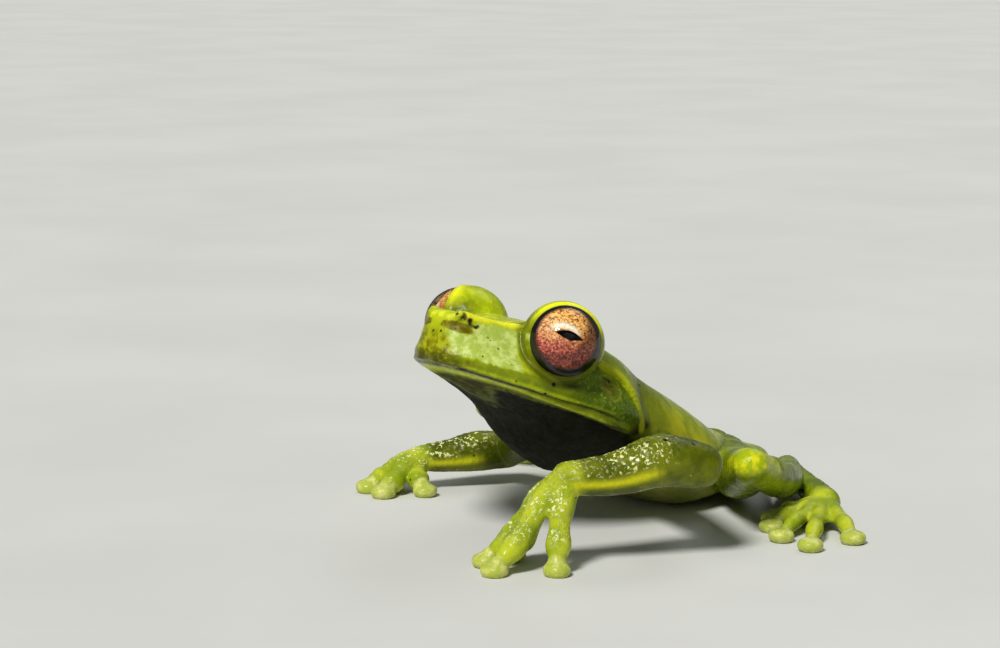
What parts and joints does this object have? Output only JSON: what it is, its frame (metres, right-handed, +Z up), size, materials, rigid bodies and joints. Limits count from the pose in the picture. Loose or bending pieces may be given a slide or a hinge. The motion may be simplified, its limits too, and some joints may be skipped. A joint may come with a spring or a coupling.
{
  "type": "tree frog model",
  "caption": "Life-size model of a green tree frog sitting with its head raised, red eyes open and feet on the floor.",
  "frame": {"origin": "middle of the frog's outer box, at the level of the floor that its feet and belly rest on", "axes": "+Z up; the head points along -Y and the frog's left side is towards +X, so X is the span across its bent legs and Y runs from snout to heels"},
  "size_m": [0.0464, 0.0424, 0.0184],
  "materials": {
    "frog_skin": "wet, glossy green skin",
    "throat_skin": "wet, grained dark skin",
    "eye_surface": "wet, clear gloss over a red and gold iris"
  },
  "bodies": {
    "root": {"head": "frog_skin", "torso": "frog_skin", "upper_arm_left": "frog_skin", "forearm_left": "frog_skin", "hand_left": "frog_skin", "upper_arm_right": "frog_skin", "forearm_right": "frog_skin", "hand_right": "frog_skin", "thigh_left": "frog_skin", "shank_left": "frog_skin", "tarsus_left": "frog_skin", "foot_left": "frog_skin", "thigh_right": "frog_skin", "shank_right": "frog_skin", "tarsus_right": "frog_skin", "foot_right": "frog_skin", "lower_jaw": "throat_skin", "eye_left": "eye_surface", "eye_right": "eye_surface"}
  },
  "joints": []
}
